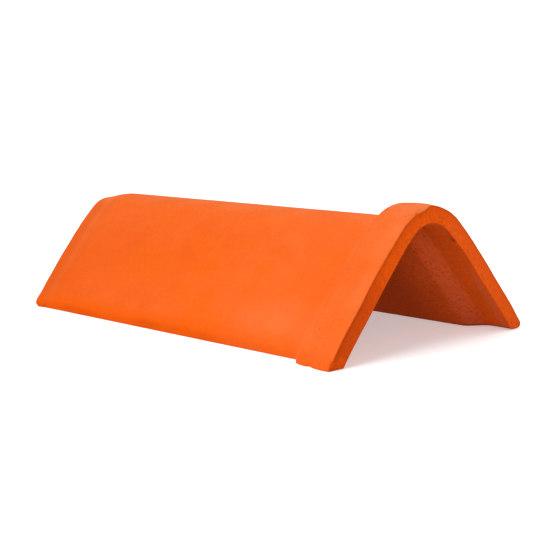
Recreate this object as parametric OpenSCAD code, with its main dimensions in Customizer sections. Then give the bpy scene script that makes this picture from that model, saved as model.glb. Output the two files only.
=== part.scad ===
// Fired-clay ridge tile: one bent wall of clay that stands on its two feet.
// X runs along the ridge with the collar end at +X, Y runs across it, Z is up.
// The origin lies on the floor under the middle of the tile. Millimetres.

/* [Overall] */
// Length along the ridge, spigot end to collar end
tile_l = 380; // [300:1:460]
// Overall width across the feet, at the collar
tile_w = 200; // [180:1:230]
// Height of the collar crest above the feet
tile_h = 99; // [88:0.5:110]

/* [Section] */
// Outer radius of the rounded crest, at the collar
crest_r = 37; // [32:0.5:44]
// Radius of the slight outward bow of each leg
leg_bow = 910; // [500:10:3000]
// Wall thickness of the body
wall = 11; // [9:0.1:13]

/* [Collar] */
// Length of the full-height land behind the collar end face
collar_l = 29; // [20:0.5:45]
// Rise of the collar above the body, square to the wall
collar_rise = 10.1; // [6:0.1:11]
// Length of the outer shoulder that runs from the body up to the collar
shoulder_l = 14; // [10:0.5:25]
// Wall thickness of the collar at the end face
collar_wall = 11.6; // [9:0.1:14]
// Depth of the full-width socket inside the collar
socket_d = 24; // [16:0.5:40]
// Length of the inner shoulder behind the socket
socket_shoulder_l = 13.5; // [10:0.5:25]

/* [Spigot] */
// Length of the reduced nose at the far end
spigot_l = 9; // [5:0.5:30]
// Length of the slope from the nose up to the body
spigot_slope_l = 15; // [8:0.5:30]
// Depth of the step down to the nose, square to the wall
spigot_step = 4.7; // [1:0.1:5]

/* [Edges] */
// Radius of the edges of both end faces
end_r = 1; // [0.5:0.1:2.2]
// Radius of the outer edge of each foot
foot_r_out = 0.8; // [0.5:0.1:2.2]
// Radius of the inner edge of each foot
foot_r_in = 3; // [0.5:0.1:4]

/* [Hidden] */

crest_n = 6;   // flats on each half of the crest
leg_n = 5;     // flats down each leg
round_n = 3;   // flats around each rounded edge
ramp_n = 8;    // steps along each eased shoulder
trim = 0.4;    // depth below the floor line that the feet are trimmed by

x_lo = -tile_l / 2;
x_hi = tile_l / 2;
edge_r = min(end_r, 0.4 * (wall - spigot_step), 0.4 * collar_wall);

// Offsets of the wall's faces from the collar's outer face, square to the wall
o_body = -collar_rise;
o_nose = o_body - spigot_step;
o_inner = o_body - wall;
o_socket = -collar_wall;

// Crest axis, and the axis of the right-hand leg's bow. The bow circle touches
// the crest circle and the circle that rounds the foot, and both lie inside it.
crest_c = [0, tile_h - crest_r];
to_foot = [tile_w / 2 - foot_r_out, foot_r_out - trim] - crest_c;
d_foot = norm(to_foot);
e1 = to_foot / d_foot;
e2 = [e1[1], -e1[0]];
along = (pow(leg_bow - crest_r, 2) - pow(leg_bow - foot_r_out, 2) + d_foot * d_foot) / (2 * d_foot);
aside = sqrt(pow(leg_bow - crest_r, 2) - along * along);
bow_c = crest_c + along * e1 + aside * e2;
// Angle above level of the line on which crest and leg meet
meet_a = atan2(crest_c[1] - bow_c[1], -bow_c[0]);

function dir(a) = [cos(a), sin(a)];
function ease(t) = let (c = min(1, max(0, t))) c * c * (3 - 2 * c);
function mix(a, b, t) = a + (b - a) * t;

// Offset of the outer and of the inner face at station x
function o_out(x) = mix(o_nose, o_body, ease((x - x_lo - spigot_l) / spigot_slope_l))
    + collar_rise * ease((x - x_hi + collar_l + shoulder_l) / shoulder_l);
function o_in(x) = mix(o_inner, o_socket, ease((x - x_hi + socket_d + socket_shoulder_l) / socket_shoulder_l));

// How far the rounded edge of an end face has drawn in at station x
function drawn_in(x) = let (u = max(0, edge_r - min(x - x_lo, x_hi - x)))
    edge_r - sqrt(max(0, edge_r * edge_r - u * u));

// Right-hand half of the section, from the crest down the outer face, round
// the foot and up the inner face, for faces at offsets oo and oi
function half_section(oo, oi, fz, ro, ri) =
    let (fo = asin((fz + ro - bow_c[1]) / (leg_bow + oo - ro)),
         co = bow_c + (leg_bow + oo - ro) * dir(fo),
         fi = asin((fz + ri - bow_c[1]) / (leg_bow + oi + ri)),
         ci = bow_c + (leg_bow + oi + ri) * dir(fi))
    concat(
        [for (k = [0:crest_n]) crest_c + (crest_r + oo) * dir(mix(90, meet_a, k / crest_n))],
        [for (k = [1:leg_n]) bow_c + (leg_bow + oo) * dir(mix(meet_a, fo, k / leg_n))],
        [for (k = [1:round_n]) co + ro * dir(mix(fo, -90, k / round_n))],
        [for (k = [round_n:-1:1]) ci + ri * dir(mix(180 + fi, 270, k / round_n))],
        [for (k = [leg_n:-1:1]) bow_c + (leg_bow + oi) * dir(mix(meet_a, fi, k / leg_n))],
        [for (k = [crest_n:-1:0]) crest_c + (crest_r + oi) * dir(mix(90, meet_a, k / crest_n))]);

// Closed section ring at station x
function ring(x) =
    let (d = drawn_in(x),
         h = half_section(o_out(x) - d, o_in(x) + d, d - trim,
                          max(0.3, foot_r_out - d), max(0.3, foot_r_in - d)))
    concat([for (p = h) [x, p[0], p[1]]],
           [for (i = [len(h) - 2:-1:1]) [x, -h[i][0], h[i][1]]]);

// Stations along X, in order, with none nearer than 0.05 mm to the last
function sorted(v) = len(v) <= 1 ? v :
    let (m = v[floor(len(v) / 2)])
    concat(sorted([for (a = v) if (a < m) a]), [m], sorted([for (a = v) if (a > m) a]));
function spaced(v) = [for (i = [0:len(v) - 1]) if (i == 0 || v[i] - v[i - 1] > 0.05) v[i]];
function steps(a, b) = [for (i = [0:ramp_n]) mix(a, b, i / ramp_n)];
edge_steps = [for (k = [0:round_n]) edge_r * (1 - cos(90 * k / round_n))];
stations = spaced(sorted(concat(
    [for (e = edge_steps) x_lo + e],
    [for (e = edge_steps) x_hi - e],
    steps(x_lo + spigot_l, x_lo + spigot_l + spigot_slope_l),
    steps(x_hi - collar_l - shoulder_l, x_hi - collar_l),
    steps(x_hi - socket_d - socket_shoulder_l, x_hi - socket_d))));

rings = [for (x = stations) ring(x)];
n_ring = len(rings[0]);
n_half = 2 * (crest_n + leg_n + round_n + 1);
last = (len(stations) - 1) * n_ring;

// Index of point j of a ring, counted past the last as the first again
function at(base, j) = base + (j + n_ring) % n_ring;
// Faces of an end, as strips from the outer face to the inner face
function cap(base) = [for (s = [1, -1]) for (k = [0:n_half / 2 - 2])
    let (a = at(base, s * k), b = at(base, s * (k + 1)),
         c = at(base, s * (n_half - 2 - k)), e = at(base, s * (n_half - 1 - k)))
    each s > 0 ? [[a, b, c], [a, c, e]] : [[a, c, b], [a, e, c]]];
function turned(f) = [for (t = f) [t[0], t[2], t[1]]];

module shell() {
    polyhedron(
        points = [for (r = rings) each r],
        faces = concat(
            cap(last), turned(cap(0)),
            [for (i = [0:len(stations) - 2]) for (j = [0:n_ring - 1])
                let (a = at(i * n_ring, j), b = at(i * n_ring, j + 1),
                     c = at((i + 1) * n_ring, j + 1), d = at((i + 1) * n_ring, j))
                each [[a, b, c], [a, c, d]]]));
}

module ridge_tile() {
    color([0.93, 0.40, 0.14])
        difference() {
            shell();
            // the feet are trimmed flat on the floor
            translate([x_lo - 5, -tile_w, -20]) cube([tile_l + 10, 2 * tile_w, 20]);
        }
}

ridge_tile();
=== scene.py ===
"""A collared ridge tile of fired clay, standing on its two feet on a pale floor."""

import math

import bpy
import numpy as np
from mathutils import Matrix, Vector


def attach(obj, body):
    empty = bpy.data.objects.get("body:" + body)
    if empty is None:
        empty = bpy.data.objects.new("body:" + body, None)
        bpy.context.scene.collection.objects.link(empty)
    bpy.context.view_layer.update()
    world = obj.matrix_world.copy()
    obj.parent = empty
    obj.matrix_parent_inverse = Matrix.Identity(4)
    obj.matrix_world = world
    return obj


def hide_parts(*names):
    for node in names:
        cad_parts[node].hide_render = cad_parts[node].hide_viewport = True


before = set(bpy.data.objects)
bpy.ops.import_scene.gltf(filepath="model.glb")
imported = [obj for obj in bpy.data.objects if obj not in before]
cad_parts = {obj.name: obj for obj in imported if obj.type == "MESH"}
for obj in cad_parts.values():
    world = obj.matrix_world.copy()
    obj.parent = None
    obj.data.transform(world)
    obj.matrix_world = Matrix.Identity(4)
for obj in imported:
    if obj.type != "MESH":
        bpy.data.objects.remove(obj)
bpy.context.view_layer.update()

scene = bpy.context.scene

# --------------------------------------------------------------------------
# The wall's section, in millimetres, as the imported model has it. X runs along
# the ridge with the collar at +X, Y across it, Z up.
# --------------------------------------------------------------------------
TILE_L, TILE_W, TILE_H = 380.0, 200.0, 99.0
CREST_R, LEG_BOW, WALL = 37.0, 910.0, 11.0
COLLAR_RISE, COLLAR_WALL = 10.1, 11.6
SPIGOT_STEP = 4.7
FOOT_R_OUT, TRIM = 0.8, 0.4
X_LO, X_HI = -TILE_L / 2, TILE_L / 2

O_BODY = -COLLAR_RISE
O_INNER = O_BODY - WALL
O_SOCKET = -COLLAR_WALL

crest_c = np.array([0.0, TILE_H - CREST_R])
to_foot = np.array([TILE_W / 2 - FOOT_R_OUT, FOOT_R_OUT - TRIM]) - crest_c
d_foot = np.linalg.norm(to_foot)
e1 = to_foot / d_foot
e2 = np.array([e1[1], -e1[0]])
along = ((LEG_BOW - CREST_R) ** 2 - (LEG_BOW - FOOT_R_OUT) ** 2 + d_foot**2) / (2 * d_foot)
aside = math.sqrt((LEG_BOW - CREST_R) ** 2 - along**2)
bow_c = crest_c + along * e1 + aside * e2
MEET = math.atan2(crest_c[1] - bow_c[1], -bow_c[0])


def direction(a):
    return np.stack([np.cos(a), np.sin(a)], -1)


def ease(t):
    t = np.clip(t, 0, 1)
    return t * t * (3 - 2 * t)


def bevel(t, cove):
    """A shoulder that starts with a cove, climbs straight and rounds over at its top."""
    t = np.clip(t, 0, 1) ** cove
    return 1 - (1 - t) ** 1.9


def mix(a, b, t):
    return a + (b - a) * t


def curve(v, *points):
    """A smooth line through (place, value) points."""
    px, py = np.array(points, float).T
    fine = np.linspace(px[0], px[-1], 241)
    y = np.interp(fine, px, py)
    k = np.hanning(23)
    y = np.convolve(np.pad(y, 11, mode="edge"), k / k.sum(), "valid")
    return np.interp(v, fine, y)


# --------------------------------------------------------------------------
# Seeded lattice noise, from -1 to 1
# --------------------------------------------------------------------------
def lattice(i, j, k, seed):
    h = (
        i.astype(np.int64) * 374761393
        + j.astype(np.int64) * 668265263
        + k.astype(np.int64) * 1274126177
        + seed * 974634317
    ) & 0xFFFFFFFF
    h = ((h ^ (h >> 15)) * 2246822519) & 0xFFFFFFFF
    h = ((h ^ (h >> 13)) * 3266489917) & 0xFFFFFFFF
    return ((h ^ (h >> 16)) & 0xFFFFFF) / 8388607.5 - 1.0


def noise(p, size, seed):
    q = p / size
    c = np.floor(q)
    f = q - c
    f = f * f * f * (f * (f * 6 - 15) + 10)
    c = c.astype(np.int64)
    out = 0.0
    for a in (0, 1):
        for b in (0, 1):
            for d in (0, 1):
                w = (
                    (f[:, 0] if a else 1 - f[:, 0])
                    * (f[:, 1] if b else 1 - f[:, 1])
                    * (f[:, 2] if d else 1 - f[:, 2])
                )
                out = out + w * lattice(c[:, 0] + a, c[:, 1] + b, c[:, 2] + d, seed)
    return out


def clouds(p, size, seed, octaves=3, gain=0.5):
    out, amp, tot = 0.0, 1.0, 0.0
    for o in range(octaves):
        out = out + amp * noise(p + 17.3 * o, size / 2**o, seed + 31 * o)
        tot += amp
        amp *= gain
    return out / tot


# --------------------------------------------------------------------------
# The grid: rings of one closed section each, drawn along the ridge, turned in
# over the rims and across both end faces. Down a face, q runs from 0 at the
# crest over 1, where the crest meets the leg, to 2 at the foot.
# --------------------------------------------------------------------------
N_CREST, N_LEG, N_TOE, N_FOOT = 24, 90, 6, 8
q_face = np.concatenate([np.arange(N_CREST + 1) / N_CREST, 1 + np.arange(1, N_LEG + 1) / N_LEG])


def half_section(oo, oi, fz, ro, ri):
    """Half of each section, from the outer crest round the foot to the inner crest.
    oo and oi are the faces' offsets at each q, and fz, ro and ri shape the foot."""
    fz, ro, ri = (np.asarray(v, float)[:, None] for v in (fz, ro, ri))
    oof, oif = oo[:, -1:], oi[:, -1:]
    fo = np.arcsin((fz + ro - bow_c[1]) / (LEG_BOW + oof - ro))
    fi = np.arcsin((fz + ri - bow_c[1]) / (LEG_BOW + oif + ri))
    co = bow_c + (LEG_BOW + oof - ro)[..., None] * direction(fo)
    ci = bow_c + (LEG_BOW + oif + ri)[..., None] * direction(fi)
    n = N_CREST + 1
    a_crest = mix(math.pi / 2, MEET, np.arange(n) / N_CREST)[None]
    t_leg = (np.arange(1, N_LEG + 1) / N_LEG)[None]
    t_toe = (np.arange(1, N_TOE + 1) / N_TOE)[None]
    outer = crest_c + (CREST_R + oo[:, :n])[..., None] * direction(a_crest)
    outer_leg = bow_c + (LEG_BOW + oo[:, n:])[..., None] * direction(mix(MEET, fo, t_leg))
    outer_toe = co + ro[..., None] * direction(mix(fo, -math.pi / 2, t_toe))
    inner_toe = ci + ri[..., None] * direction(mix(-math.pi / 2, fi - math.pi, t_toe - 1 / N_TOE))
    inner_leg = bow_c + (LEG_BOW + oi[:, n:][:, ::-1])[..., None] * direction(mix(MEET, fi, t_leg[:, ::-1]))
    inner = crest_c + (CREST_R + oi[:, :n][:, ::-1])[..., None] * direction(a_crest[:, ::-1])
    a, b = outer_toe[:, -1:], inner_toe[:, :1]
    t_foot = np.arange(1, N_FOOT + 1) / (N_FOOT + 1)
    foot = mix(a, b, t_foot[None, :, None])
    # across an end face the foot line sags a little, so that its faces have some width
    foot[..., 1] -= 0.13 * np.clip(fz - 0.6, 0, None) * 4 * t_foot * (1 - t_foot)
    return np.concatenate([outer, outer_leg, outer_toe, foot, inner_toe, inner_leg, inner], 1)


def spans(*stops):
    """Stations at a given pitch between the stops: (start, pitch), ..., (end,)"""
    out = []
    for (a, pitch), nxt in zip(stops[:-1], stops[1:]):
        n = max(1, round((nxt[0] - a) / pitch))
        out += [a + (nxt[0] - a) * i / n for i in range(n)]
    return out + [stops[-1][0]]


RIM, N_RIM = 0.6, 3
turn = [math.pi / 2 * (k + 1) / N_RIM for k in range(N_RIM)]
body_x = spans((X_LO + RIM, 0.75), (-185, 1.15), (-160, 3.4), (140, 1.0), (170, 1.1), (185, 0.75), (X_HI - RIM,))
half_lo, half_hi = (WALL - SPIGOT_STEP) / 2, COLLAR_WALL / 2
inset_lo = [mix(RIM, 0.78 * half_lo, k / 3) for k in range(3, 0, -1)]
inset_hi = [mix(RIM, 0.80 * half_hi, (k / 6) ** 0.9) for k in range(1, 7)]
ring_x = np.array(
    [X_LO] * len(inset_lo)
    + [X_LO + RIM - RIM * math.sin(a) for a in reversed(turn)]
    + body_x
    + [X_HI - RIM + RIM * math.sin(a) for a in turn]
    + [X_HI] * len(inset_hi)
)
ring_d = np.array(
    inset_lo
    + [RIM - RIM * math.cos(a) for a in reversed(turn)]
    + [0.0] * len(body_x)
    + [RIM - RIM * math.cos(a) for a in turn]
    + inset_hi
)
N_RING = len(ring_x)


def side_section(near):
    """One side's half sections. The two legs were not pressed quite alike, and the rims
    wander a little from the pattern."""
    x, q = ring_x[:, None], q_face[None]
    down = np.clip(q - 1, 0, 1)
    # collar, with its rear rim a little further along at the crest than at the feet
    flank = ease((q - 0.4) / 0.7)
    start, stop = mix(147.8, 145.5, down) - 2.2 * flank, mix(162.0, 160.2, down)
    rise = COLLAR_RISE * bevel((x - start) / (stop - start), mix(1.3, 1.7, flank))
    # spigot: the step fades out towards the near foot
    if near:
        step = curve(q, (0, 5.2), (0.5, 5.1), (1.0, 4.9), (1.15, 4.1), (1.4, 4.7), (1.7, 4.9), (1.85, 3.4), (1.95, 0.0), (2.0, -1.3))
    else:
        step = curve(q, (0, 5.2), (0.5, 5.1), (1.2, 4.9), (1.7, 4.9), (2.0, 3.6))
    t = np.clip((x - X_LO + 3.5) / 36.0, 0, 1)
    nose = step * (1 - mix(t, ease(t), 0.55))
    oo = O_BODY - nose + rise
    oo = oo + 0.15 * curve(q, (0, 1), (0.5, 1), (1.0, 0), (2, 0)) * ease((x + 165) / 30) * ease((146 - x) / 20)
    # worn and slightly wandering rim of the collar's end face
    end = np.exp(-(X_HI - x) / 7.0)
    collar_mid = ease((x - 160) / 8) * ease((188 - x) / 12)
    if near:
        oo = oo + end * curve(q, (0, -0.1), (0.4, -0.7), (0.8, -1.0), (1.0, -0.55), (1.15, 0.1), (1.25, 0.3), (1.36, 0.8), (1.46, 0.6), (1.55, 0.15), (1.6, 0.1), (1.7, 0.6), (1.8, 0.9), (1.9, 0.6), (2.0, 0.1))
        oo = oo + np.exp(-(X_HI - x) / 3.5) * curve(q, (0, 0), (0.08, -0.4), (0.2, -1.4), (0.3, -1.6), (0.42, -1.4), (0.5, -0.6), (0.56, -0.7), (0.62, -1.0), (0.72, -0.7), (0.85, -0.1), (1.0, 0), (2, 0))
        foot = ease((down - 0.55) / 0.45)
        oo = oo + foot * mix(-0.1, 0.7, (x + 130) / 260).clip(-0.1, 0.7) * (1 - ease((x - 138) / 12)) * ease((x + 168) / 20)
        oo = oo + foot * curve(x, (140, 0), (154, 0), (158, -2.0), (164, -1.3), (170, -1.3), (175, -0.3), (180, 0.3), (190, 0.3))
    else:
        oo = oo + end * curve(q, (0, -0.1), (0.2, -0.6), (0.4, -1.0), (0.6, -0.95), (0.8, -0.65), (1.0, -0.1), (1.15, 0.4), (1.3, 0.1), (1.6, -0.35), (1.8, 0.0), (2.0, 0.0))
    oo = oo + (0.35 if near else 0.8) * collar_mid * curve(q, (0, 0), (0.12, 0.25), (0.32, 1), (0.7, 0.6), (1.2, 0), (2, 0))
    # socket
    s0, s1 = (152.5, mix(166.0, 166.0, down)) if near else (mix(152.5, 153.0, down), mix(166.0, 169.0, down))
    oi = mix(O_INNER, O_SOCKET, ease((x - s0) / (s1 - s0)))
    deep = ease((x - 150) / 25)
    if near:
        oi = oi + deep * curve(q, (0, -0.9), (0.8, -0.8), (1.0, -0.4), (1.12, 0.15), (1.3, -0.2), (1.5, -0.4), (1.7, -0.1), (1.85, 0.2), (2.0, 0.4))
    else:
        oi = oi + deep * curve(q, (0, -0.9), (0.2, -0.9), (0.4, -1.1), (0.6, -1.1), (0.8, -0.8), (1.0, -0.5), (1.1, -0.1), (1.3, -0.1), (1.4, -0.8), (1.5, -1.0), (1.7, -0.6), (1.8, -0.3), (2.0, 0.1))
        oi = oi + np.exp(-(X_HI - x) / 3.0) * curve(q, (0, 0), (0.4, -0.1), (0.6, -0.5), (0.8, -0.6), (1.0, -0.7), (1.1, -0.7), (1.2, -0.35), (1.35, 0), (2, 0))
    # feet
    xs = ring_x
    if near:
        ro = np.full(N_RING, 0.6)
        ri = curve(xs, (-190, 2.6), (150, 2.6), (180, 1.0), (190, 0.8))
        fz = np.zeros(N_RING)
    else:
        ro = curve(xs, (-190, 1.5), (120, 1.5), (165, 1.5), (180, 2.4), (190, 3.3))
        ri = curve(xs, (-190, 3.2), (140, 4.0), (160, 5.2), (190, 5.4))
        fz = curve(xs, (-190, 0.5), (-170, 0.1), (-120, 0.0), (-40, 0.3), (60, 0.45), (110, 0.3), (140, 0.0), (154, 0.0), (168, 0.5), (182, 0.4), (190, 0.0))
    d = ring_d
    return half_section(
        oo - d[:, None], oi + d[:, None], fz + d, np.maximum(0.3, ro - d), np.maximum(0.3, ri - d)
    )


far, near = side_section(False), side_section(True)
N_HALF = far.shape[1]
# the two halves share one crest line
for col in (0, N_HALF - 1):
    far[:, col] = near[:, col] = (far[:, col] + near[:, col]) / 2
yz = np.concatenate([far, near[:, -2:0:-1] * [-1, 1]], 1)
N_LOOP = yz.shape[1]
P = np.concatenate([np.broadcast_to(ring_x[:, None, None], (N_RING, N_LOOP, 1)), yz], 2).reshape(-1, 3).copy()

# What each place on the loop is: which side, how far down, inner or outer
half_q = np.concatenate([q_face, np.full(2 * N_TOE + N_FOOT, 2.0), q_face[::-1]])
half_in = np.concatenate(
    [np.zeros(len(q_face) + N_TOE), np.arange(1, N_FOOT + 1) / (N_FOOT + 1), np.ones(N_TOE + len(q_face))]
)
half_foot = np.concatenate(
    [
        np.zeros(len(q_face)),
        np.arange(1, N_TOE + 1) / N_TOE,
        np.ones(N_FOOT),
        np.arange(N_TOE, 0, -1) / N_TOE,
        np.zeros(len(q_face)),
    ]
)


def round_loop(v):
    return np.tile(np.concatenate([v, v[-2:0:-1]]), N_RING)


Q, INNER, FOOT = round_loop(half_q), round_loop(half_in), round_loop(half_foot)
NEAR = np.tile(np.concatenate([np.zeros(N_HALF), np.ones(N_LOOP - N_HALF)]), N_RING)
X0 = np.repeat(ring_x, N_LOOP)
D0 = np.repeat(ring_d, N_LOOP)
END = ease((D0 - 0.25 * RIM) / (0.75 * RIM))  # 1 on the two end faces
COLLAR_END, NOSE_END = END * (X0 > 0), END * (X0 < 0)

# Faces: the skin, then each end closed from its outer to its inner line
i = np.arange(N_RING - 1)[:, None] * N_LOOP
j = np.arange(N_LOOP)[None]
k = (j + 1) % N_LOOP
skin = np.stack([i + j, i + k, i + N_LOOP + k, i + N_LOOP + j], -1).reshape(-1, 4)


def closing(base, flip):
    out = []
    for s in (1, -1):
        for m in range(N_HALF // 2 - 1):
            f = [s * m, s * (m + 1), s * (N_HALF - 2 - m), s * (N_HALF - 1 - m)]
            f = [base + v % N_LOOP for v in f]
            out.append(f if (s > 0) != flip else f[::-1])
    return np.array(out)


faces = np.concatenate([skin, closing((N_RING - 1) * N_LOOP, False), closing(0, True)])[:, ::-1].copy()


def vertex_normals(p):
    a, b, c, d = (p[faces[:, m]] for m in range(4))
    fn = np.cross(c - a, d - b)
    n = np.zeros_like(p)
    for m in range(4):
        np.add.at(n, faces[:, m], fn)
    return n / np.maximum(np.linalg.norm(n, axis=1, keepdims=True), 1e-9)


# The spigot end is not quite square: it draws back towards its feet, and its near
# lower corner is rounded off
up_leg = (2 - Q) * 100.0
rounded = 7.5 - np.sqrt(7.5**2 - np.clip(7.5 - up_leg, 0, 7.5) ** 2)
back_near = curve(Q, (0, 0), (1.5, 0.1), (1.7, 1.1), (1.8, 2.7), (1.9, 6.6), (2.0, 10.5)) + 0.9 * rounded
back_far = curve(Q, (0, 0), (1.5, 0), (1.8, 0.8), (1.93, 2.2), (2.0, 4.0))
P[:, 0] += np.where(NEAR > 0, back_near, back_far) * np.clip((-158 - P[:, 0]) / 32, 0, 1) ** 1.4
# the collar's lower corners are a little rounded too
corner = curve(Q, (0, 0), (1.9, 0), (1.96, 0.25), (2.0, 0.9))
P[:, 0] -= np.where(NEAR > 0, 0.3, 0.5) * corner * np.clip((P[:, 0] - 180) / 10, 0, 1) ** 1.4 * (1 - 0.5 * INNER)

normal = vertex_normals(P)

# --------------------------------------------------------------------------
# Unevenness of the clay: slow waves from pressing and firing, a cut end face,
# worn rims, and chips
# --------------------------------------------------------------------------
base = P.copy()
off_foot = 1 - FOOT
rim = np.clip(1 - np.abs(D0 - 0.5 * RIM) / (0.9 * RIM), 0, 1) * (np.minimum(X_HI - X0, X0 - X_LO) < 2 * RIM)
toe = np.clip(FOOT * (1 - FOOT) * 4 + (FOOT > 0) * (FOOT < 1) * 0.5, 0, 1)
skin_wave = 0.10 * clouds(base * [0.6, 1, 1], 30, 11) + 0.045 * clouds(base * [0.7, 1, 1], 7, 12, 2)
inner_wave = 0.22 * clouds(base * [0.45, 1, 1], 26, 21) + 0.10 * clouds(base, 7, 22, 3)
end_wave = 0.16 * clouds(base, 16, 31) + 0.11 * clouds(base, 4, 32, 2, 0.7)
move = mix(mix(skin_wave, inner_wave, INNER), end_wave, END)
worn = np.clip(clouds(base, 9, 41, 3, 0.6) * 1.6 + 0.35, 0, 1)
move = move - rim * 0.14 * worn - toe * 0.10 * worn * (1 - FOOT * 0.5) * (1 - END)
move = move * np.where(FOOT >= 1, mix(0.35, 1.0, END), 1.0)
move = move * (1 - 0.85 * (X0 < -150) * ease((Q - 1.85) / 0.08))
P += normal * move[:, None]

CHIP = np.zeros(len(P))


def chip(at, r, depth, along, rough=0.35, seed=0, tone=1.0):
    """A scoop: pushes what lies within r of a point along a direction, with a rough floor."""
    global P
    at, along = np.array(at, float), np.array(along, float)
    along = along / np.linalg.norm(along)
    near_by = np.linalg.norm(base - at, axis=1) < 1.5 * r
    p = base[near_by]
    wob = 1 + 0.3 * clouds(p, 0.9 * r, 500 + seed, 2)
    w = np.clip(1 - (np.linalg.norm(p - at, axis=1) / (r * wob)) ** 2, 0, 1)
    fl = 1 + rough * clouds(p, 0.5 * r, 700 + seed, 2)
    P[near_by] += along * (depth * w * fl)[:, None]
    CHIP[near_by] = np.maximum(CHIP[near_by], np.clip(w * 1.6, 0, 1) * min(1, depth / 0.5) * tone)


chip((189.8, -11.0, 94.6), 3.6, 0.9, (-0.7, 0.25, -0.7), seed=1, tone=0.0)
chip((189.8, -7.0, 96.4), 2.8, 0.6, (-0.6, 0.1, -0.8), seed=2, tone=0.0)
chip((189.9, -14.5, 94.3), 1.8, 0.9, (-0.7, 0.4, -0.6), seed=3)
chip((161.6, -15.0, 95.9), 2.1, 0.8, (0.45, 0.45, -0.75), seed=4, tone=0.9)
chip((189.9, 27.7, 70.3), 1.8, 0.8, (-0.5, 0.65, 0.6), rough=0.15, seed=5)
chip((157.6, -85.2, 16.9), 1.7, 0.5, (0.2, 0.8, -0.6), seed=6, tone=0.0)
chip((168.6, -99.0, 0.8), 3.0, 1.1, (0.0, 0.75, 0.65), seed=7)
chip((190.0, -97.6, 4.6), 3.0, 1.1, (-0.85, 0.5, 0.1), seed=8)
chip((-164.5, -88.2, 0.3), 2.2, 0.5, (0.0, 0.75, 0.65), seed=9)

P[:, 2] = np.maximum(P[:, 2], 0.0)
P[FOOT >= 1, 2] = np.maximum(P[FOOT >= 1, 2], 0.0)
half_w = TILE_W / 2 - 0.01
P = np.clip(P, [X_LO, -half_w, 0.0], [X_HI, half_w, TILE_H])

mesh = bpy.data.meshes.new("ridge_tile_clay")
mesh.from_pydata((P / 1000).tolist(), [], faces.tolist())
mesh.update()
mesh.polygons.foreach_set("use_smooth", [True] * len(mesh.polygons))


def attribute(name, values):
    a = mesh.attributes.new(name, "FLOAT", "POINT")
    a.data.foreach_set("value", np.clip(values, 0, 1).astype(np.float32))


outer = (1 - INNER) * (1 - END)
ridge = np.exp(-((Q / 0.85) ** 2))
band = np.exp(-(((X0 + 168 - 1.5 * (Q - 1)) / 6.0) ** 2)) * (1 - 0.5 * ease((Q - 1.2) / 0.5))
# painted highlight along the collar's rear rim
rear_highlight = np.exp(-(((X0 - mix(151.0, 147.5, np.clip(Q - 1, 0, 1))) / 5.0) ** 2))
collar_top = ease((X0 - 158) / 6) * np.exp(-((Q / 1.3) ** 2))
# partly dust and partly painted sheen: the ridge, the collar's top, its rear rim and the spigot's step band are
# painted paler, as if catching light
dust_and_sheen = outer * np.clip(
    0.66 * ridge
    + 0.28 * band
    + 0.22 * rear_highlight
    + 0.30 * collar_top
    + 0.09 * ease((X0 - 148) / 10) * ease((Q - 0.5) / 0.5) * ease((2.0 - Q) / 0.15)
    + 0.16 * np.exp(-(((X0 - 183) / 5) ** 2)) * ease((Q - 0.3) / 0.4) * ease((1.9 - Q) / 0.3)
    + 0.42 * np.exp(-(((X0 - 105) / 42) ** 2)) * np.exp(-(((Q - 1.78) / 0.17) ** 2))
    + 0.10 * clouds(base * [0.5, 1, 1], 40, 61),
    0,
    1,
)
# a painted highlight spot at the nick on the collar's rear shoulder
highlight_fleck = np.exp(-(((base[:, 0] - 157.6) / 1.4) ** 2) - ((base[:, 2] - 16.9) / 2.1) ** 2)
dust_and_sheen = np.maximum(dust_and_sheen, outer * NEAR * highlight_fleck)
# painted shade: the rims, the outer edges of the end faces, the outer toes and the nose's rim are darkened
rim_share = mix(0.5, mix(0.65, 0.95, ease((Q - 0.8) / 0.6)), NEAR)
rim_shade_mask = np.clip(rim * 0.5 + END * np.exp(-np.maximum(D0 - RIM, 0) / 2.0) * (INNER < 0.5) * rim_share + toe * 0.35 * (INNER < 0.5), 0, 1)
rim_shade_mask = np.maximum(rim_shade_mask, 0.5 * outer * np.exp(-np.maximum(X0 - X_LO - 0.4, 0) / 1.5))
attribute("inside", INNER)
attribute("cut", END)
attribute("dust_and_sheen", dust_and_sheen)
attribute("edge", rim_shade_mask)
attribute("chip", CHIP)
# small dark pits: in the hollow behind the socket, and a few on the collar's near side
pitted = INNER * np.exp(-(((X0 - 146) / 22) ** 2)) * (1 - NEAR * 0.4) + 0.12 * INNER
speckled = np.exp(-((((base - [167, -84, 22]) / [9, 13, 13]) ** 2).sum(1)))
attribute("pitted", pitted + 0.55 * speckled)
# painted shadow along the inner edges of the feet, in one notch and in a spot just inside the far socket's rim
painted_shadow = (FOOT > 0) * np.maximum(INNER, 0.0) * (0.75 + 0.35 * clouds(base, 12, 81)) * (1 - END)
painted_shadow = np.maximum(painted_shadow, 1.2 * INNER * ease((FOOT - 0.3) / 0.4) * ease((X0 - 160) / 10) * (1 - NEAR) * (1 - END))
painted_shadow = np.maximum(painted_shadow, np.exp(-((np.linalg.norm(base - [-164.5, -88.2, 0.3], axis=1) / 1.9) ** 2)))
painted_shadow = np.maximum(painted_shadow, INNER * (1 - NEAR) * (1 - END) * np.exp(-(((X0 - 188.0) / 2.2) ** 2) - ((Q - 1.09) / 0.024) ** 2))
attribute("painted_shadow", painted_shadow)
# painted shade: the hollow darkens further in, behind the socket
attribute("depth_shade", INNER * ease((152 - X0) / 45))
# painted shade on the inner crest near the collar
attribute("inner_crest_shade", INNER * np.exp(-(((Q - 0.8) / 0.42) ** 2)) * ease((X0 - 136) / 16) * (1 - 0.4 * ease((X0 - 165) / 12)))
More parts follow.
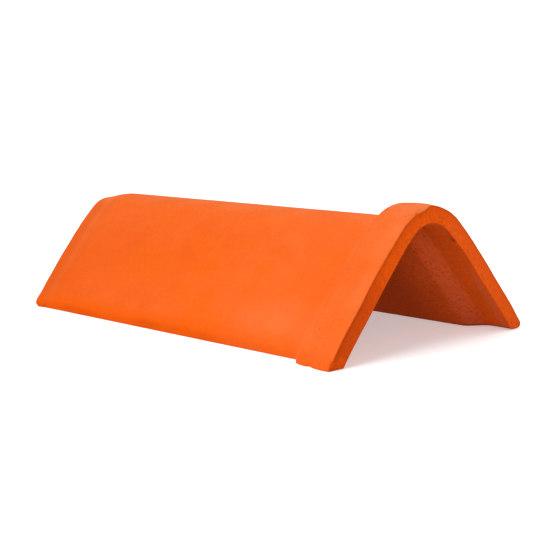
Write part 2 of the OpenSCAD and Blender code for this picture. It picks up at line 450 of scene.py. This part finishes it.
# a deeper strip along the feet, and on the nose; the near leg's cut face is darker low down
run = 1 - 0.65 * ease((X0 - 40) / 40)
drift = 0.045 * clouds(base * [0.5, 1, 1], 34, 91) - 0.02 * ease((-60 - X0) / 90)
attribute("hem", outer * run * ease((Q - 1.83 + drift) / 0.13) * (0.95 + 0.25 * clouds(base, 18, 92)) * ease((147 - X0) / 4))
attribute("hem_dark", outer * run * ease((Q - 1.925 + 0.6 * drift) / 0.06) * (0.8 + 0.6 * clouds(base * [0.6, 1, 1], 15, 93)) * ease((147 - X0) / 4))
attribute("nose", outer * ease((-148 - X0) / 22))
attribute("low_cut", COLLAR_END * NEAR * ease((Q - 1.30) / 0.30) * (1 - 0.6 * ease((Q - 1.95) / 0.05)))
attribute("pale_cut", COLLAR_END * (1 - NEAR) * ease((Q - 0.5) / 0.5))
# painted light: the hollow is lighter inside the socket, towards the open end
attribute("socket", INNER * ease((X0 - 157) / 9))
# painted shade: the far end is darker, as if less lit; the strip along the feet is a shade deeper
attribute("shade", outer * np.clip(0.75 * ease((20 - X0) / 170) + 0.8 * ease((Q - 1.86) / 0.14) * (0.6 + 0.6 * clouds(base * [0.4, 1, 1], 30, 71)), 0, 1))
# a dusty lip where the socket's shoulder begins
mouth = np.exp(-(((X0 - 186.0) / 3.2) ** 2)) * ease((Q - 1.3) / 0.2) * (1 - NEAR)
attribute("lip", INNER * (np.exp(-(((X0 - 160.5) / 6.5) ** 2)) * (0.9 + 0.3 * clouds(base * [1, 0.4, 0.4], 16, 95)) + 0.8 * mouth))

tile = bpy.data.objects.new("ridge_tile_clay", mesh)
scene.collection.objects.link(tile)

# --------------------------------------------------------------------------
# Fired clay: matte orange with soft mottling, fine grain, sparse dark grains, a pale bloom on the ridge
# that is partly dust and partly painted sheen, deeper and coarser on the cut end faces. The hollow, the rims
# and the feet's inner edges carry painted shade.
# --------------------------------------------------------------------------
mat = bpy.data.materials.new("fired_clay")
mat.use_nodes = True
nt = mat.node_tree
nodes, links = nt.nodes, nt.links
bsdf = nodes["Principled BSDF"]


def put(socket, value):
    if isinstance(value, bpy.types.NodeSocket):
        links.new(value, socket)
    else:
        socket.default_value = value


def attr(name):
    n = nodes.new("ShaderNodeAttribute")
    n.attribute_name = name
    return n.outputs["Fac"]


def maths(op, a, b=0.0, clamp=False):
    n = nodes.new("ShaderNodeMath")
    n.operation = op
    n.use_clamp = clamp
    put(n.inputs[0], a)
    put(n.inputs[1], b)
    return n.outputs[0]


def remap(v, a, b, c=0.0, d=1.0):
    n = nodes.new("ShaderNodeMapRange")
    n.interpolation_type = "SMOOTHSTEP"
    put(n.inputs["Value"], v)
    put(n.inputs["From Min"], a)
    put(n.inputs["From Max"], b)
    put(n.inputs["To Min"], c)
    put(n.inputs["To Max"], d)
    return n.outputs["Result"]


def blend(fac, a, b, how="MIX"):
    n = nodes.new("ShaderNodeMix")
    n.data_type = "RGBA"
    n.blend_type = how
    put(n.inputs["Factor"], fac)
    put(n.inputs["A"], a)
    put(n.inputs["B"], b)
    return n.outputs["Result"]


coords = nodes.new("ShaderNodeTexCoord").outputs["Object"]


def stretched(sx, sy, sz):
    n = nodes.new("ShaderNodeMapping")
    put(n.inputs["Vector"], coords)
    n.inputs["Scale"].default_value = (sx, sy, sz)
    return n.outputs["Vector"]


def noise_tex(scale, detail=3.0, rough=0.55, vector=None):
    n = nodes.new("ShaderNodeTexNoise")
    put(n.inputs["Vector"], vector or coords)
    n.inputs["Scale"].default_value = scale
    n.inputs["Detail"].default_value = detail
    n.inputs["Roughness"].default_value = rough
    return n.outputs["Fac"]


def spots(scale, size, share, vector=None):
    """Round spots in a share of the cells, 1 in the middle of each."""
    n = nodes.new("ShaderNodeTexVoronoi")
    put(n.inputs["Vector"], vector or coords)
    n.inputs["Scale"].default_value = scale
    sep = nodes.new("ShaderNodeSeparateColor")
    links.new(n.outputs["Color"], sep.inputs[0])
    has = maths("LESS_THAN", sep.outputs[0], share)
    width = maths("MULTIPLY", maths("ADD", sep.outputs[1], 0.4), size)
    inside_spot = maths("SUBTRACT", 1.0, maths("DIVIDE", n.outputs["Distance"], width), True)
    return maths("MULTIPLY", remap(inside_spot, 0.0, 0.5), has)


inside, cut, dust_and_sheen_a, edge, chip_a, pitted_a = (attr(n) for n in ("inside", "cut", "dust_and_sheen", "edge", "chip", "pitted"))
lip, socket_lit_a, shade, painted_shadow_a, depth_shade = (attr(n) for n in ("lip", "socket", "shade", "painted_shadow", "depth_shade"))
inner_crest_shade, hem, hem_dark, nose_a, low_cut, pale_cut = (attr(n) for n in ("inner_crest_shade", "hem", "hem_dark", "nose", "low_cut", "pale_cut"))
mottle = noise_tex(11.0, 3.0, 0.5, stretched(0.6, 1.0, 1.0))
cloud = noise_tex(55.0, 4.0, 0.6, stretched(0.7, 1.0, 1.0))
grain = noise_tex(900.0, 2.0, 0.6)
fine = noise_tex(330.0, 3.0, 0.65)
patch = noise_tex(34.0, 2.0, 0.5, stretched(0.75, 1.0, 1.0))
sand = noise_tex(520.0, 1.0, 0.5)

DEEP = (0.765, 0.1040, 0.0075, 1)
BODY = (0.800, 0.1180, 0.0115, 1)
WARM = (0.820, 0.1280, 0.0165, 1)
YELLOW = (0.790, 0.1150, 0.0050, 1)
DUST_AND_SHEEN = (0.860, 0.2070, 0.0640, 1)
CUT = (0.810, 0.0930, 0.0020, 1)
CUT_DARK = (0.755, 0.0850, 0.0020, 1)
HOLLOW_TONE_AND_SHADE = (0.440, 0.0550, 0.0025, 1)
DEPTH_SHADE = (0.300, 0.0370, 0.0020, 1)
INNER_CREST_SHADE = (0.360, 0.0430, 0.0020, 1)
HEM = (0.790, 0.1010, 0.0016, 1)
HEM_DARK = (0.610, 0.0690, 0.0010, 1)
NOSE = (0.675, 0.0930, 0.0070, 1)
LOW_CUT = (0.610, 0.0640, 0.0020, 1)
LIP = (0.500, 0.0800, 0.0240, 1)
PAINTED_SHADOW = (0.170, 0.0220, 0.0040, 1)
SOCKET_LIT = (0.545, 0.0660, 0.0018, 1)
SOCKET_LIT_WORN = (0.510, 0.0700, 0.0040, 1)
SHADE = (0.715, 0.0960, 0.0070, 1)
DUST = (0.500, 0.0770, 0.0110, 1)
RIM_SHADE = (0.360, 0.0380, 0.0015, 1)
PALE_CUT = (0.795, 0.1000, 0.0075, 1)
GRAIN = (0.130, 0.0220, 0.0070, 1)

colour = blend(remap(mottle, 0.32, 0.64), DEEP, BODY)
colour = blend(remap(cloud, 0.42, 0.70, 0.0, 0.7), colour, WARM)
colour = blend(remap(patch, 0.50, 0.66, 0.0, 0.75), colour, YELLOW)
# painted shade towards the far end, and a deeper strip along the feet
colour = blend(maths("MULTIPLY", shade, 0.75), colour, SHADE)
colour = blend(nose_a, colour, NOSE)
# the pale bloom: partly dust, partly painted sheen on the ridge and collar
colour = blend(maths("MULTIPLY", dust_and_sheen_a, remap(cloud, 0.25, 0.65, 0.45, 0.9)), colour, DUST_AND_SHEEN)
colour = blend(hem, colour, HEM)
colour = blend(maths("MULTIPLY", hem_dark, 0.8), colour, HEM_DARK)
# the hollow's colour: darker than the outside, partly the clay's own tone and partly painted shade, with dust mixed
# in
hollow = blend(remap(cloud, 0.35, 0.68, 0.0, 0.55), HOLLOW_TONE_AND_SHADE, DUST)
# painted shade deeper in the hollow
hollow = blend(maths("MULTIPLY", depth_shade, 0.8), hollow, DEPTH_SHADE)
# painted light inside the socket, with some random variation
hollow = blend(socket_lit_a, hollow, blend(remap(cloud, 0.35, 0.65), SOCKET_LIT, SOCKET_LIT_WORN))
hollow = blend(maths("MULTIPLY", lip, 0.85), hollow, LIP)
# painted shade on the inner crest
hollow = blend(maths("MULTIPLY", inner_crest_shade, 0.85), hollow, INNER_CREST_SHADE)
colour = blend(inside, colour, hollow)
colour = blend(cut, colour, blend(remap(maths("ADD", maths("MULTIPLY", sand, 0.5), maths("MULTIPLY", fine, 0.5)), 0.33, 0.66), CUT_DARK, CUT))
colour = blend(maths("MULTIPLY", low_cut, 0.85), colour, LOW_CUT)
colour = blend(maths("MULTIPLY", pale_cut, 0.7), colour, PALE_CUT)
# painted shade darkening the rims, end-face edges and outer toes
colour = blend(maths("MULTIPLY", edge, remap(fine, 0.3, 0.7, 0.4, 0.8)), colour, RIM_SHADE)
colour = blend(maths("MULTIPLY", chip_a, 0.8), colour, CUT_DARK)
# painted shadow along the feet's inner edges and in the notch
colour = blend(maths("MULTIPLY", painted_shadow_a, 0.8), colour, PAINTED_SHADOW)
# fine grain in the tone, coarser on the cut faces and inside
depth = maths("ADD", 0.09, maths("ADD", maths("MULTIPLY", cut, 0.03), maths("MULTIPLY", inside, 0.16)))
speckle = maths("ADD", maths("MULTIPLY", maths("SUBTRACT", sand, 0.5), 1.5), maths("MULTIPLY", maths("SUBTRACT", fine, 0.5), 1.3))
tone = maths("ADD", 1.0, maths("MULTIPLY", speckle, depth))
tone_rgb = nodes.new("ShaderNodeCombineColor")
for s in range(3):
    links.new(tone, tone_rgb.inputs[s])
colour = blend(1.0, colour, tone_rgb.outputs[0], "MULTIPLY")
# dark grains and pits: very few outside, more on the cut faces and in the hollow
few = spots(120.0, 0.11, 0.02)
some = spots(230.0, 0.22, 0.10)
many = spots(400.0, 0.38, 0.40)
pits = maths("MAXIMUM", maths("MULTIPLY", few, 0.7), maths("MULTIPLY", some, maths("MULTIPLY", cut, 0.4)))
pits = maths("MAXIMUM", pits, maths("MULTIPLY", many, pitted_a))
colour = blend(maths("MULTIPLY", pits, 0.45), colour, GRAIN)
links.new(colour, bsdf.inputs["Base Color"])

links.new(remap(cloud, 0.3, 0.7, 0.74, 0.90), bsdf.inputs["Roughness"])
bsdf.inputs["Specular IOR Level"].default_value = 0.045
bsdf.inputs["IOR"].default_value = 1.45

relief = maths("ADD", maths("MULTIPLY", maths("ADD", grain, sand), 0.35), maths("MULTIPLY", fine, 0.7))
relief = maths("MULTIPLY", relief, maths("ADD", 0.55, maths("ADD", maths("MULTIPLY", cut, 0.35), maths("MULTIPLY", inside, 0.5))))
relief = maths("SUBTRACT", relief, maths("MULTIPLY", pits, 0.9))
bump = nodes.new("ShaderNodeBump")
bump.inputs["Strength"].default_value = 0.55
bump.inputs["Distance"].default_value = 0.0005
links.new(relief, bump.inputs["Height"])
links.new(bump.outputs["Normal"], bsdf.inputs["Normal"])
mesh.materials.append(mat)

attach(tile, "root")
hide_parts("ridge_tile")

# --------------------------------------------------------------------------
# Floor, light and camera
# --------------------------------------------------------------------------
floor_mesh = bpy.data.meshes.new("floor")
R = 200.0
floor_mesh.from_pydata([(-R, -R, 0), (R, -R, 0), (R, R, 0), (-R, R, 0)], [], [(0, 1, 2, 3)])
floor = bpy.data.objects.new("floor", floor_mesh)
floor.location.z = -0.0002
scene.collection.objects.link(floor)
pale = bpy.data.materials.new("pale_floor")
pale.use_nodes = True
pb = pale.node_tree.nodes["Principled BSDF"]
pb.inputs["Base Color"].default_value = (0.88, 0.88, 0.88, 1)
pb.inputs["Roughness"].default_value = 0.9
pb.inputs["Specular IOR Level"].default_value = 0.0
pb.inputs["Emission Color"].default_value = (1, 1, 1, 1)
pb.inputs["Emission Strength"].default_value = 0.42
floor_mesh.materials.append(pale)

world = bpy.data.worlds.new("studio")
scene.world = world
world.use_nodes = True
wn, wl = world.node_tree.nodes, world.node_tree.links
wn.clear()
w_out = wn.new("ShaderNodeOutputWorld")
w_mix = wn.new("ShaderNodeMixShader")
w_dim = wn.new("ShaderNodeBackground")
w_seen = wn.new("ShaderNodeBackground")
w_path = wn.new("ShaderNodeLightPath")
w_dim.inputs["Color"].default_value = (1, 1, 1, 1)
w_dim.inputs["Strength"].default_value = 0.31
w_seen.inputs["Color"].default_value = (1, 1, 1, 1)
w_seen.inputs["Strength"].default_value = 1.1
wl.new(w_path.outputs["Is Camera Ray"], w_mix.inputs["Fac"])
wl.new(w_dim.outputs[0], w_mix.inputs[1])
wl.new(w_seen.outputs[0], w_mix.inputs[2])
wl.new(w_mix.outputs[0], w_out.inputs["Surface"])


def sun(name, energy, angle, towards):
    """A soft light from far off, whose rays run along towards."""
    o = bpy.data.objects.new(name, bpy.data.lights.new(name, "SUN"))
    o.data.energy = energy
    o.data.angle = math.radians(angle)
    o.rotation_euler = Vector(towards).to_track_quat("-Z", "Y").to_euler()
    scene.collection.objects.link(o)
    return o


sun("key", 2.45, 50, (0.14, 0.46, -0.88))
sun("fill", 0.18, 40, (-0.75, 0.62, -0.25))
sun("back", 0.70, 50, (0.16, -0.88, -0.44))

cam = bpy.data.objects.new("camera", bpy.data.cameras.new("camera"))
cam.data.sensor_fit = "HORIZONTAL"
cam.data.sensor_width = 36.0
cam.data.lens = 88.07
cam.data.clip_start, cam.data.clip_end = 0.05, 1000.0
right = Vector((0.67171238, 0.74039211, -0.02493992))
up = Vector((-0.09810967, 0.12227712, 0.98763495))
back = Vector((0.73428671, -0.66095978, 0.15477468))
m = Matrix((right, up, back)).transposed().to_4x4()
m.translation = Vector((0.808062, -0.696268, 0.194976)) - 0.00022 * right + 0.00017 * up
cam.matrix_world = m
scene.collection.objects.link(cam)
scene.camera = cam

scene.view_settings.view_transform = "Standard"
scene.view_settings.look = "None"
scene.view_settings.exposure = 0.0
scene.view_settings.gamma = 1.0
